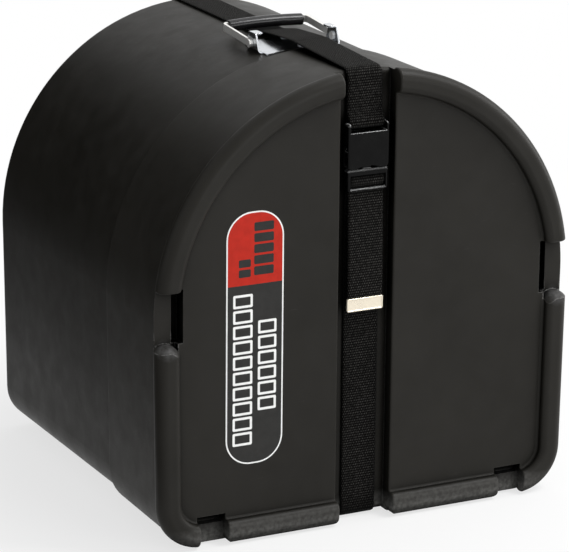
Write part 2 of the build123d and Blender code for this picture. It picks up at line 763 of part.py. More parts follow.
# Strap under the lid and up its channel, behind the loose end
with BuildPart() as strap_lower_run:
    base_bend = channel_end_round + strap_offset
    with BuildSketch(Plane.YZ):
        add(
            webbing(
                [
                    depth_point(lid_depth, lid_strap_base),
                    depth_point(channel_layer_depth, face_strap_inset),
                    depth_point(channel_layer_depth, ladder_base_height - tail_layer_drop),
                ],
                [base_bend],
            )
        )
    extrude(amount=strap_width / 2, both=True)
strap_lower_run.part.label = "strap_lower_run"
export_step(strap_lower_run.part, "parts/strap_lower_run.step")

# Strap through the plug's ladder, hanging free below it
with BuildPart() as strap_tail:
    plug_front_depth = buckle_mid_depth - plug_turn
    plug_rear_depth = buckle_mid_depth + plug_turn
    plug_bend = plug_turn - turn_slack
    with BuildSketch(Plane.YZ):
        add(
            webbing(
                [
                    depth_point(load_layer_depth, ladder_base_height - tail_start_drop),
                    depth_point(load_layer_depth, ladder_base_height - tail_layer_drop),
                    depth_point(plug_rear_depth, middle_bar_centre - strap_bend),
                    depth_point(plug_rear_depth, middle_bar_top + strap_offset),
                    depth_point(plug_front_depth, middle_bar_top + strap_offset),
                    depth_point(plug_front_depth, middle_bar_centre - strap_bend),
                    depth_point(tail_layer_depth, end_bar_centre + strap_thickness),
                    depth_point(tail_layer_depth, end_bar_centre - strap_bend),
                    depth_point(tail_hang_depth, end_bar_centre - tail_hang_drop),
                    depth_point(tail_hang_depth, tail_end_height),
                ],
                [
                    strap_bend,
                    strap_bend,
                    plug_bend,
                    plug_bend,
                    strap_thickness,
                    strap_thickness,
                    strap_bend,
                    strap_bend,
                ],
            )
        )
    extrude(amount=strap_width / 2, both=True)
strap_tail.part.label = "strap_tail"
export_step(strap_tail.part, "parts/strap_tail.step")

# Metal tip: sheet folded round the end of the strap
with BuildPart() as strap_tip:
    tip_inner = strap_thickness + 2 * tip_gap
    tip_base_height = tail_end_height - tip_gap - tip_wall
    with BuildSketch(Plane.XY.offset(tip_base_height)):
        with Locations((0, front_y + tail_hang_depth)):
            Rectangle(strap_width + 2 * tip_overhang, tip_inner + 2 * tip_wall)
    extrude(amount=tip_height)
    fillet(strap_tip.faces().sort_by(Axis.Z)[0].edges(), tip_round)
    with BuildSketch(Plane.XY.offset(tip_base_height + tip_wall)):
        with Locations((0, front_y + tail_hang_depth)):
            Rectangle(strap_width + 2 * tip_gap, tip_inner)
    extrude(amount=tip_height, mode=Mode.SUBTRACT)
strap_tip.part.label = "strap_tip"
export_step(strap_tip.part, "parts/strap_tip.step")

# Stitches that close the loop round the socket's bar: an outline with a cross inside
with BuildPart() as strap_loop_stitching:
    stitch_field_height = stitch_field_top - stitch_field_base
    stitch_field_width = strap_width - 2 * stitch_side_margin
    field_middle = (stitch_field_top + stitch_field_base) / 2
    column_pitch = stitch_field_width / stitch_columns
    row_pitch = stitch_field_height / stitch_rows
    with BuildSketch(station(sewn_front_depth - strap_thickness / 2 - stitch_height)):
        for edge in (-1, 1):
            for column in range(stitch_columns):
                x = (column + 1 / 2 - stitch_columns / 2) * column_pitch
                with Locations((x, field_middle + edge * stitch_field_height / 2)):
                    Rectangle(stitch_length, stitch_width)
            for row in range(stitch_rows):
                z = (row + 1 / 2 - stitch_rows / 2) * row_pitch
                with Locations((edge * stitch_field_width / 2, field_middle + z)):
                    Rectangle(stitch_width, row_pitch - stitch_width)
    extrude(amount=-stitch_height)
strap_loop_stitching.part.label = "strap_loop_stitching"
export_step(strap_loop_stitching.part, "parts/strap_loop_stitching.step")

# Buckle socket: flat sleeve, open at its mouth and sides, with a bar for the sewn webbing
with BuildPart() as buckle_socket:
    with BuildSketch(station(buckle_front_depth)):
        with Locations((0, socket_base_height + socket_length / 2)):
            RectangleRounded(socket_width, socket_length, socket_corner_round)
    extrude(amount=-socket_thickness)
    fillet(buckle_socket.faces().filter_by(Axis.Y).edges(), socket_edge_round)
    with BuildSketch(Plane.XY.offset(socket_base_height)):
        with Locations((0, front_y + buckle_mid_depth)):
            Rectangle(socket_width - 2 * socket_side_wall, socket_thickness - 2 * socket_wall)
    extrude(amount=socket_cavity_length, mode=Mode.SUBTRACT)
    with BuildSketch(Plane.XY.offset(socket_base_height)):
        with Locations((0, front_y + buckle_mid_depth)):
            Rectangle(socket_width + 2 * cut, socket_thickness - 2 * socket_wall)
    extrude(amount=socket_window_length, mode=Mode.SUBTRACT)
    arch_radius = (mouth_arch_half_width**2 + mouth_arch**2) / (2 * mouth_arch)
    with BuildSketch(station(buckle_front_depth - cut)):
        with Locations((0, socket_base_height + mouth_arch - arch_radius)):
            Circle(arch_radius)
        with Locations((0, socket_top_height + cut - (socket_frame_length + cut) / 2)):
            Rectangle(socket_width - 2 * socket_rail_width, socket_frame_length + cut)
    extrude(amount=-(socket_thickness + 2 * cut), mode=Mode.SUBTRACT)
    with BuildSketch(Plane.YZ):
        with Locations(depth_point(socket_bar_depth, socket_top_height - socket_bar_height / 2)):
            RectangleRounded(
                socket_bar_thickness,
                socket_bar_height,
                socket_bar_thickness / 2 - turn_slack,
            )
    extrude(amount=(socket_width - socket_rail_width) / 2, both=True)
buckle_socket.part.label = "buckle_socket"
export_step(buckle_socket.part, "parts/buckle_socket.step")

# Buckle plug: shoulder with a guide tongue above it and a two-bar ladder below it
with BuildPart() as buckle_plug:
    plug_length = plug_base_length + ladder_length
    with BuildSketch(station(buckle_mid_depth - plug_thickness / 2)):
        with Locations((0, plug_top_height - plug_length / 2)):
            RectangleRounded(plug_width, plug_length, plug_corner_round)
    extrude(amount=-plug_thickness)
    fillet(buckle_plug.faces().filter_by(Axis.Y).edges(), plug_edge_round)
    with BuildSketch(station(0)):
        with Locations((0, plug_base_height - ladder_length / 2 - cut / 2)):
            Rectangle(2 * ladder_half_width, ladder_length + cut)
    extrude(amount=-2 * buckle_mid_depth, mode=Mode.SUBTRACT)
    with BuildSketch(Plane.YZ):
        with Locations(depth_point(buckle_mid_depth, middle_bar_centre)):
            RectangleRounded(
                middle_bar_thickness,
                middle_bar_height,
                middle_bar_thickness / 2 - turn_slack,
            )
        with Locations(depth_point(end_bar_depth, end_bar_centre)):
            RectangleRounded(
                end_bar_thickness,
                end_bar_height,
                end_bar_height / 2 - turn_slack,
            )
    extrude(amount=ladder_half_width + ladder_rail_width / 2, both=True)
    with BuildSketch(station(buckle_mid_depth - tongue_thickness / 2)):
        with Locations((0, plug_top_height + tongue_length / 2 - cut / 2)):
            RectangleRounded(tongue_width, tongue_length + cut, tongue_round)
    extrude(amount=-tongue_thickness)
buckle_plug.part.label = "buckle_plug"
export_step(buckle_plug.part, "parts/buckle_plug.step")

# Buckle prongs: springy arms with a barb that stands in the socket's side window
for side, name in ((-1, "prong_left"), (1, "prong_right")):
    hinge_height = plug_top_height + prong_gap + prong_root_radius
    root_inner = prong_root_middle - prong_root_radius
    root_outer = prong_root_middle + prong_root_radius
    with BuildPart() as prong:
        with BuildSketch(station(buckle_mid_depth - prong_thickness / 2)) as prong_outline:
            with BuildLine():
                Polyline(
                    (side * root_inner, hinge_height),
                    (side * root_outer, hinge_height),
                    (side * prong_waist_outer, plug_top_height + prong_waist_height),
                    (side * prong_reach, plug_top_height + prong_barb_start),
                    (side * prong_reach, plug_top_height + prong_barb_end),
                    (side * prong_tip_outer, plug_top_height + prong_tip_height),
                    (side * prong_tip_inner, plug_top_height + prong_tip_height),
                    close=True,
                )
            make_face()
            fillet(prong_outline.vertices().sort_by(Axis.Y)[-4:], prong_round)
            with Locations((side * prong_root_middle, hinge_height)):
                Circle(prong_root_radius)
        extrude(amount=-prong_thickness)
    prong.part.label = name
    export_step(prong.part, "parts/" + name + ".step")

# Name label: a thin plate with round ends on the left of the face
with BuildPart() as name_label:
    label_length = case_height - label_top_drop - label_base_height
    with BuildSketch(station(panel_depth - label_gap - label_thickness)):
        with Locations((label_side_margin - case_half_width, label_base_height + label_length / 2)):
            RectangleRounded(label_width, label_length, label_corner_round)
    extrude(amount=-label_thickness)
name_label.part.label = "name_label"
export_step(name_label.part, "parts/name_label.step")
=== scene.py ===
import math

import bmesh
import bpy
from mathutils import Matrix, Vector, noise


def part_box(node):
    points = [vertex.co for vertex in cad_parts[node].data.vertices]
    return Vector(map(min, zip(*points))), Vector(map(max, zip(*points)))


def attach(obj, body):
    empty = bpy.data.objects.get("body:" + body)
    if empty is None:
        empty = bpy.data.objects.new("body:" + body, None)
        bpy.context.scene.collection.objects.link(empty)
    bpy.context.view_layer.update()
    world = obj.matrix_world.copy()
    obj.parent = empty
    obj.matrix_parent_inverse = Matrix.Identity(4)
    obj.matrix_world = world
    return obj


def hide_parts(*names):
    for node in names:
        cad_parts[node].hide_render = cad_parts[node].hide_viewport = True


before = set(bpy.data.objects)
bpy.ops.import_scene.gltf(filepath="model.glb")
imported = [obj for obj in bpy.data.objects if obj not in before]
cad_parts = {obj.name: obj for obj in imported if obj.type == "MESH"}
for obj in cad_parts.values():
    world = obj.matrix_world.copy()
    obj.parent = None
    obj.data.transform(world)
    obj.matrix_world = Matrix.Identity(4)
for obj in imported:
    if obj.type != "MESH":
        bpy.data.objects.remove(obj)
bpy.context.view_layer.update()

# Moulded drum case: finishes, webbing, foam, label and studio. Metres, in the frame of the CAD part.
mm = 0.001
quarter_turn = math.pi / 2

# Outline of the case and places that the soft pieces follow
case_half_width = 228.0 * mm
case_height = 462.0 * mm
side_lean = math.radians(0.7)
bead_corner_radius = 48.0 * mm
arc_centre_height = case_height - case_half_width
front_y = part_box("lid_shell")[0].y
lid_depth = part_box("lid_shell")[1].y - front_y
shell_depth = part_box("body_shell")[1].y - front_y
body_top_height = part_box("body_shell")[1].z


def depth_point(depth, height):
    """Point of a side view, from its depth behind the lid's foremost line and its height."""
    return Vector((front_y + depth, height))


def arc(centre, radius, start, turn, steps):
    """Points of an arc that turns this far from its start, anticlockwise where the turn is positive."""
    points = []
    for step in range(steps + 1):
        angle = start + turn * step / steps
        points.append(centre + radius * Vector((math.cos(angle), math.sin(angle))))
    return points


def case_outline(inset):
    """Front-view points of the case's outline, drawn in by this much, anticlockwise from the right."""
    radius = case_half_width - inset
    corner = bead_corner_radius - inset
    points = arc(Vector((0, arc_centre_height)), radius, -side_lean, math.pi + 2 * side_lean, steps=64)
    shoulder = points[0]
    foot_x = shoulder.x - (shoulder.y - inset) * math.tan(side_lean)
    for side, start in ((-1, 2 * quarter_turn), (1, 3 * quarter_turn)):
        centre = Vector((side * (foot_x - corner), inset + corner))
        points += arc(centre, corner, start, quarter_turn, steps=10)
    return points


def rounded_box(low_x, low_z, high_x, high_z, radius, flat_top=False, flat_base=False):
    """Outline of a rectangle with round corners, or with its top or base left square."""
    middle = Vector((low_x + high_x, low_z + high_z)) / 2
    half = Vector((high_x - low_x, high_z - low_z)) / 2
    corners = ((1, 1, flat_top), (-1, 1, flat_top), (-1, -1, flat_base), (1, -1, flat_base))
    points = []
    for place, (x, z, square) in enumerate(corners):
        corner = middle + Vector((x * half.x, z * half.y))
        if square:
            points.append(corner)
        else:
            centre = corner - radius * Vector((x, z))
            points += arc(centre, radius, place * quarter_turn, quarter_turn, steps=12)
    return points


def rounded_path(points, bends, spacing):
    """Samples along straight runs joined by arcs, no further apart than this spacing."""
    least_turn = math.radians(0.01)
    arc_step = math.radians(9)
    same_place = 0.001 * mm
    stops = [points[0]]
    for before, corner, after, bend in zip(points, points[1:], points[2:], bends):
        into = (corner - before).normalized()
        out = (after - corner).normalized()
        turn = abs(into.angle_signed(out))
        if turn < least_turn:
            stops.append(corner)
            continue
        side = 1 if into.x * out.y - into.y * out.x > 0 else -1
        reach = bend * math.tan(turn / 2)
        start = corner - into * reach
        normal = Vector((-into.y, into.x)) * side
        centre = start + normal * bend
        steps = max(2, math.ceil(turn / arc_step))
        for step in range(steps + 1):
            stops.append(centre + Matrix.Rotation(side * turn * step / steps, 2) @ (start - centre))
    stops.append(points[-1])
    path = [stops[0]]
    for stop in stops[1:]:
        start = path[-1]
        gap = (stop - start).length
        if gap < same_place:
            continue
        count = max(1, math.ceil(gap / spacing))
        path += [start.lerp(stop, step / count) for step in range(1, count + 1)]
    return path


def linked(name, data):
    """New object with this data, in the scene."""
    obj = bpy.data.objects.new(name, data)
    bpy.context.scene.collection.objects.link(obj)
    return obj


def mesh_object(name, build, face_outward=True):
    """New object whose mesh is made by this function of a bmesh."""
    mesh = bpy.data.meshes.new(name)
    shape = bmesh.new()
    build(shape)
    if face_outward:
        bmesh.ops.recalc_face_normals(shape, faces=shape.faces)
    shape.to_mesh(mesh)
    shape.free()
    return linked(name, mesh)


def finish_piece(obj, body, material, nodes=()):
    """Gives a new piece its material and body, and hides the CAD nodes that it stands for."""
    obj.data.materials.append(material)
    for polygon in obj.data.polygons:
        polygon.use_smooth = True
    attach(obj, body)
    if nodes:
        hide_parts(*nodes)


def smooth_by_angle(obj, degrees):
    """Keeps edges sharper than this angle crisp on a smooth-shaded mesh."""
    obj.data.set_sharp_from_angle(angle=math.radians(degrees))


def ring_at(shape, outline, y):
    """Vertices of a front-view outline at this place along Y."""
    return [shape.verts.new((point.x, y, point.y)) for point in outline]


def bridge(shape, first, second):
    """Faces between two closed rings with as many vertices."""
    count = len(first)
    for place in range(count):
        ahead = (place + 1) % count
        shape.faces.new((first[place], first[ahead], second[ahead], second[place]))


class Finish:
    """A Principled material with short names for the nodes that it uses."""

    bevel_samples = 4
    occlusion_samples = 6
    mix_color_inputs = (6, 7)
    mix_color_output = 2

    def __init__(self, name, color, roughness, metallic=0.0, specular=0.5):
        self.material = bpy.data.materials.new(name)
        self.material.use_nodes = True
        self.tree = self.material.node_tree
        self.nodes = self.tree.nodes
        self.links = self.tree.links
        self.shader = self.nodes["Principled BSDF"]
        self.set_even(base_color=(*color, 1), roughness=roughness, metallic=metallic)
        self.set_even(specular_ior_level=specular)
        self.object_coords = self.nodes.new("ShaderNodeTexCoord").outputs["Object"]

    def shader_input(self, name):
        """The shader's input with this name."""
        return self.shader.inputs[name.replace("_", " ").title().replace("Ior", "IOR")]

    def set_even(self, **values):
        """Sets inputs of the shader to one value all over, by name."""
        for name, value in values.items():
            self.shader_input(name).default_value = value

    def use(self, **outputs):
        """Links outputs to the shader's inputs by name."""
        for name, output in outputs.items():
            self.links.new(output, self.shader_input(name))
        return self.material

    def feed(self, socket, value):
        """Links an output to this socket, or sets its value."""
        if isinstance(value, bpy.types.NodeSocket):
            self.links.new(value, socket)
        else:
            socket.default_value = value

    def calc(self, operation, first, second=None):
        """Math node, from sockets or numbers."""
        node = self.nodes.new("ShaderNodeMath")
        node.operation = operation
        self.feed(node.inputs[0], first)
        if second is not None:
            self.feed(node.inputs[1], second)
        return node.outputs[0]

    def times(self, first, *others):
        """Product of sockets and numbers."""
        for other in others:
            first = self.calc("MULTIPLY", first, other)
        return first

    def distance(self, first, second):
        """Distance of one vector from another one or from a point."""
        node = self.nodes.new("ShaderNodeVectorMath")
        node.operation = "DISTANCE"
        self.feed(node.inputs[0], first)
        self.feed(node.inputs[1], second)
        return node.outputs["Value"]

    def split(self, vector):
        """X, Y and Z of a vector."""
        node = self.nodes.new("ShaderNodeSeparateXYZ")
        self.links.new(vector, node.inputs[0])
        return node.outputs

    def noise(self, scale, detail, stretch=(1, 1, 1), coords=None):
        """Noise over the object, in cycles per metre, stretched along any axis."""
        mapping = self.nodes.new("ShaderNodeMapping")
        mapping.inputs["Scale"].default_value = stretch
        self.links.new(coords or self.object_coords, mapping.inputs["Vector"])
        node = self.nodes.new("ShaderNodeTexNoise")
        node.inputs["Scale"].default_value = scale
        node.inputs["Detail"].default_value = detail
        self.links.new(mapping.outputs[0], node.inputs["Vector"])
        return node.outputs["Fac"]

    def spread(self, value, span, onto=(0.0, 1.0)):
        """Maps this span of values onto another one, clamped."""
        node = self.nodes.new("ShaderNodeMapRange")
        for name, number in zip(("From Min", "From Max", "To Min", "To Max"), (*span, *onto)):
            node.inputs[name].default_value = number
        self.links.new(value, node.inputs["Value"])
        return node.outputs["Result"]

    def blend(self, share, first, second):
        """Mix of two colours, each a socket or three numbers."""
        node = self.nodes.new("ShaderNodeMix")
        node.data_type = "RGBA"
        self.links.new(share, node.inputs["Factor"])
        for place, value in zip(self.mix_color_inputs, (first, second)):
            color = (*value, 1) if isinstance(value, tuple) else value
            self.feed(node.inputs[place], color)
        return node.outputs[self.mix_color_output]

    def bump(self, height, depth, strength=1.0, before=None):
        """Bump from a height of 0 to 1, this deep, on top of an earlier one."""
        node = self.nodes.new("ShaderNodeBump")
        node.inputs["Strength"].default_value = strength
        node.inputs["Distance"].default_value = depth
        self.links.new(height, node.inputs["Height"])
        if before:
            self.links.new(before, node.inputs["Normal"])
        return node.outputs["Normal"]

    def bevel(self, radius):
        """Bevel node, which rounds the normals near edges."""
        node = self.nodes.new("ShaderNodeBevel")
        node.samples = self.bevel_samples
        node.inputs["Radius"].default_value = radius
        return node

    def soften(self, radius, before):
        """Rounds the shading of edges by this radius, over a normal that is already bumped."""
        node = self.bevel(radius)
        self.links.new(before, node.inputs["Normal"])
        return node.outputs["Normal"]

    def surface_normal(self):
        """Normal of the mesh, before any bump."""
        return self.nodes.new("ShaderNodeNewGeometry").outputs["Normal"]

    def edges(self, radius, span, upward=False):
        """1 along edges of the mesh, or only along its upper edges, and 0 away from them."""
        upper_span = (0.1, 0.45)
        rounded = self.bevel(radius).outputs["Normal"]
        mask = self.spread(self.distance(rounded, self.surface_normal()), span)
        if upward:
            mask = self.times(mask, self.spread(self.split(rounded)["Z"], upper_span))
        return mask

    def crevice(self, reach):
        """0 deep in grooves of the object, rising to 1 on open faces."""
        node = self.nodes.new("ShaderNodeAmbientOcclusion")
        node.samples = self.occlusion_samples
        node.inputs["Distance"].default_value = reach
        return node.outputs["AO"]

    def near(self, centre, reach):
        """1 at a point of the object, falling to 0 at this distance from it."""
        return self.spread(self.distance(self.object_coords, centre), span=(0.0, reach), onto=(1.0, 0.0))


def base_rub_and_highlight(finish):
    """1 in fine patches low on the object, most on faces that look up, and 0 above the base bead: rubbing
    wear with a painted highlight on the upward faces.
    """
    height_span = (8 * mm, 24 * mm)
    low = finish.spread(finish.split(finish.object_coords)["Z"], height_span, onto=(1.0, 0.0))
    facing = finish.split(finish.surface_normal())["Z"]
    # Painted highlight: faces that look up get the most of the paler colour.
    upper = finish.spread(facing, span=(-0.35, 0.35), onto=(0.3, 1.0))
    patches = finish.spread(finish.noise(scale=260, detail=5), span=(0.3, 0.7), onto=(0.35, 0.9))
    return finish.times(low, upper, patches)


def worn_plastic(finish, base, worn_places, specular):
    """Painted shade that turns grooves and crevices black and takes their specular away, a base bead worn
    paler in patches with a painted highlight on its upward faces, scuffed knobs and scraped edges: the new
    base and the scraping.
    """
    groove_shade_color = (0.0008, 0.0008, 0.0007)
    knob_color = (0.058, 0.057, 0.056)
    rubbed_and_highlight_color = (0.185, 0.182, 0.173)
    scraped_color = (0.36, 0.355, 0.345)
    # Painted shade: ambient occlusion turns the plastic black deep in grooves and crevices, and turns down
    # its specular there too.
    open_share = finish.spread(finish.crevice(reach=30 * mm), span=(0.45, 0.85))
    base = finish.blend(open_share, groove_shade_color, base)
    finish.use(specular_ior_level=finish.times(open_share, specular))
    zone = finish.near(*worn_places[0])
    for place in worn_places[1:]:
        zone = finish.calc("MAXIMUM", zone, finish.near(*place))
    patches = finish.spread(finish.noise(scale=240, detail=5), span=(0.36, 0.6), onto=(0.3, 1.0))
    knob = finish.times(finish.spread(zone, span=(0.4, 0.7)), patches)
    base = finish.blend(knob, base, knob_color)
    # Paler patches on the base bead: partly rubbing wear, partly a painted highlight.
    base = finish.blend(base_rub_and_highlight(finish), base, rubbed_and_highlight_color)
    scrape = finish.spread(finish.noise(scale=500, detail=5, stretch=(1, 1, 2.5)), span=(0.42, 0.6))
    edge = finish.edges(radius=1.6 * mm, span=(0.12, 0.6))
    scraped = finish.times(scrape, edge, finish.spread(zone, span=(0.0, 0.5), onto=(0.12, 1.0)))
    return finish.blend(scraped, base, scraped_color), scraped


def shell_plastic(name, low, high, worn_places=()):
    """Satin black polyethylene: fine grain, faint flow mottling, pale scuffs where it gets knocked, and with
    worn places also painted shade in crevices and a painted highlight on the base bead.
    """
    specular = 0.14
    cloud_color = (0.022, 0.0208, 0.0185)
    scuff_color = (0.07, 0.068, 0.062)
    scuff_strength = 0.25
    grain_roughness = 0.06
    finish = Finish(name, color=(0.0135, 0.0128, 0.0112), roughness=0.48, specular=specular)
    mottle = finish.noise(scale=9, detail=3)
    cloud = finish.noise(scale=45, detail=4)
    grain = finish.noise(scale=1500, detail=3)
    base = finish.blend(finish.spread(mottle, span=(0.35, 0.65)), low, high)
    base = finish.blend(finish.spread(cloud, span=(0.35, 0.8), onto=(0, 0.3)), base, cloud_color)
    scuff = finish.spread(finish.noise(scale=70, detail=6, stretch=(1, 1, 9)), span=(0.66, 0.74))
    scuff = finish.times(scuff, finish.spread(cloud, span=(0.5, 0.62)), scuff_strength)
    base = finish.blend(scuff, base, scuff_color)
    height = grain
    if worn_places:
        base, scraped = worn_plastic(finish, base, worn_places, specular)
        height = finish.calc("SUBTRACT", grain, scraped)
    rough = finish.spread(cloud, span=(0.3, 0.7), onto=(0.38, 0.47))
    rough = finish.calc("ADD", rough, finish.times(grain, grain_roughness))
    normal = finish.bump(mottle, depth=1.2 * mm, strength=0.35)
    normal = finish.bump(finish.noise(scale=30, detail=3), depth=0.8 * mm, strength=0.5, before=normal)
    normal = finish.bump(height, depth=0.06 * mm, strength=0.8, before=normal)
    return finish.use(base_color=base, roughness=rough, normal=finish.soften(1.2 * mm, normal))


def lining_foam():
    """Closed-cell foam: dark grey, finely pitted."""
    cell_color = (0.03, 0.03, 0.032)
    skin_color = (0.075, 0.075, 0.078)
    pale_color = (0.09, 0.09, 0.092)
    finish = Finish("lining_foam", color=(0.055, 0.055, 0.058), roughness=0.95, specular=0.15)
    finish.set_even(sheen_weight=0.15)
    cells = finish.noise(scale=900, detail=4)
    patch = finish.noise(scale=14, detail=3)
    base = finish.blend(finish.spread(cells, span=(0.3, 0.65)), cell_color, skin_color)
    base = finish.blend(finish.spread(patch, span=(0.35, 0.7), onto=(0, 0.3)), base, pale_color)
    normal = finish.bump(finish.noise(scale=30, detail=2), depth=2 * mm, strength=0.25)
    normal = finish.bump(cells, depth=0.3 * mm, strength=0.8, before=normal)
    return finish.use(base_color=base, normal=normal)


# Weave of the webbing: width of a yarn float, length of a row, and how squarely a float bulges
weave_column = 1.9 * mm
weave_row = 2.6 * mm
across_power = 2.0
along_power = 3.0


def woven_webbing():
    """Heavy black webbing: offset rows of raised yarn floats, mapped along the strap, with painted
    highlights on the float crowns and painted shade between the floats and deep in the channel.
    """
    gap_and_shade_color = (0.0010, 0.0009, 0.0007)
    shade_color = (0.0006, 0.0006, 0.0005)
    dark_yarn = (0.0036, 0.0034, 0.0031)
    pale_yarn_and_highlight = (0.066, 0.0635, 0.059)
    finish = Finish("woven_webbing", color=(0.008, 0.0075, 0.0068), roughness=0.75, specular=0.03)
    finish.set_even(sheen_weight=0.025, sheen_roughness=0.4)
    coords = finish.nodes.new("ShaderNodeUVMap")
    coords.uv_map = "weave"
    place = finish.split(coords.outputs[0])
    along = finish.calc("DIVIDE", place["Y"], weave_row)
    row = finish.calc("FLOOR", along)
    half_step = finish.times(finish.calc("PINGPONG", row, 1.0), 0.5)
    across = finish.calc("ADD", finish.calc("DIVIDE", place["X"], weave_column), half_step)
    column = finish.calc("FLOOR", across)
    bulges = []
    for cells, power in ((across, across_power), (along, along_power)):
        from_middle = finish.calc("ABSOLUTE", finish.calc("SUBTRACT", finish.calc("FRACT", cells), 0.5))
        fall = finish.calc("POWER", finish.times(from_middle, 2.0), power)
        bulges.append(finish.calc("SUBTRACT", 1.0, fall))
    height = finish.times(*bulges)
    cell = finish.nodes.new("ShaderNodeCombineXYZ")
    finish.links.new(column, cell.inputs["X"])
    finish.links.new(row, cell.inputs["Y"])
    scatter = finish.nodes.new("ShaderNodeTexWhiteNoise")
    finish.links.new(cell.outputs[0], scatter.inputs["Vector"])
    tone = finish.spread(scatter.outputs["Value"], span=(0.0, 1.0), onto=(0.3, 1.0))
    yarn = finish.blend(tone, dark_yarn, pale_yarn_and_highlight)
    # Painted highlight and shade: only the crowns of the floats take the pale yarn colour, the rest is
    # painted near black as shade between them.
    base = finish.blend(finish.spread(height, span=(0.64, 0.96)), gap_and_shade_color, yarn)
    # Painted shade: ambient occlusion darkens the strap deep in the channel and other crevices.
    open_share = finish.spread(finish.crevice(reach=30 * mm), span=(0.4, 1.0), onto=(0.05, 1.0))
    base = finish.blend(open_share, shade_color, base)
    fibre = finish.noise(scale=1, detail=3, stretch=(9000, 900, 900), coords=coords.outputs[0])
    normal = finish.bump(height, depth=0.6 * mm)
    normal = finish.bump(fibre, depth=0.08 * mm, strength=0.5, before=normal)
    return finish.use(base_color=base, normal=normal)


def sewing_thread():
    """Twisted black thread."""
    finish = Finish("sewing_thread", color=(0.008, 0.008, 0.0082), roughness=0.6, specular=0.1)
    twist = finish.noise(scale=2600, detail=2, stretch=(1, 1, 0.4))
    base = finish.blend(twist, (0.004, 0.0038, 0.0036), (0.014, 0.0135, 0.0125))
    return finish.use(base_color=base, normal=finish.bump(twist, depth=0.1 * mm, strength=0.8))


def buckle_plastic():
    """Glossy black acetal with faint moulding ripples, hairline wear and a painted highlight along its upper
    edges.
    """
    black = (0.0018, 0.0018, 0.0018)
    hair_color = (0.03, 0.03, 0.03)
    edge_highlight_color = (0.80, 0.80, 0.79)
    finish = Finish("buckle_plastic", color=(0.002, 0.002, 0.0021), roughness=0.22, specular=0.1)
    hair = finish.noise(scale=300, detail=4, stretch=(1, 1, 12))
    base = finish.blend(finish.spread(hair, span=(0.68, 0.78), onto=(0, 0.35)), black, hair_color)
    # Painted highlight: a pale line along the upper edges, broken up by the hairline noise.
    edge = finish.edges(radius=1.2 * mm, span=(0.06, 0.32), upward=True)
    edge_glint = finish.times(edge, finish.spread(hair, span=(0.35, 0.6), onto=(0.45, 1.0)))
    base = finish.blend(edge_glint, base, edge_highlight_color)
    rough = finish.spread(finish.noise(scale=120, detail=4), span=(0.3, 0.7), onto=(0.18, 0.3))
    normal = finish.bump(finish.noise(scale=60, detail=2), depth=0.6 * mm, strength=0.3)
    normal = finish.bump(finish.noise(scale=1800, detail=2), depth=0.02 * mm, strength=0.5, before=normal)
    return finish.use(base_color=base, roughness=rough, normal=finish.soften(0.6 * mm, normal))


def plated_metal(name, color, roughness, pit_depth, metallic=1.0):
    """Bright plating: slight ripple, fine pits, roughness that drifts between two values."""
    dull_share = 0.84
    finish = Finish(name, color, roughness[0], metallic=metallic)
    smudge = finish.noise(scale=55, detail=4)
    pits = finish.noise(scale=3200, detail=2)
    dull = tuple(channel * dull_share for channel in color)
    base = finish.blend(finish.spread(pits, span=(0.6, 0.75), onto=(0, 0.6)), color, dull)
    rough = finish.spread(smudge, span=(0.3, 0.7), onto=roughness)
    normal = finish.bump(finish.noise(scale=70, detail=2), depth=0.5 * mm, strength=0.25)
    normal = finish.bump(pits, depth=pit_depth, strength=0.6, before=normal)
    return finish.use(base_color=base, roughness=rough, normal=finish.soften(0.4 * mm, normal))


def grip_vinyl():
    """Glossy dark grey dipped grip with a faint orange-peel skin."""
    finish = Finish("grip_vinyl", color=(0.008, 0.008, 0.0085), roughness=0.2, specular=0.26)
    peel = finish.noise(scale=420, detail=2)
    base = finish.blend(finish.noise(scale=40, detail=3), (0.006, 0.006, 0.0064), (0.011, 0.011, 0.0115))
    rough = finish.spread(finish.noise(scale=90, detail=3), span=(0.3, 0.7), onto=(0.16, 0.26))
    normal = finish.bump(peel, depth=0.12 * mm, strength=0.4)
    return finish.use(base_color=base, roughness=rough, normal=normal)


def printed_film(name, low, high):
    """Printed vinyl film: near-even ink with faint mottling, worn a little duller in patches."""
    finish = Finish(name, high, roughness=0.4, specular=0.2)
    base = finish.blend(finish.spread(finish.noise(scale=160, detail=5), span=(0.3, 0.7)), low, high)
    rough = finish.spread(finish.noise(scale=50, detail=3), span=(0.3, 0.7), onto=(0.34, 0.48))
    normal = finish.bump(finish.noise(scale=350, detail=2), depth=0.03 * mm, strength=0.5)
    return finish.use(base_color=base, roughness=rough, normal=normal)


# Places on the lid that get knocked: the knobs below both side notches, each with the reach of its wear
knob_height = 208.5 * mm
knob_reach = 22.0 * mm
bead_middle = 12.0 * mm
worn_places = [
    (Vector((side * (case_half_width - bead_middle), front_y + bead_middle / 2, knob_height)), knob_reach)
    for side in (-1, 1)
]

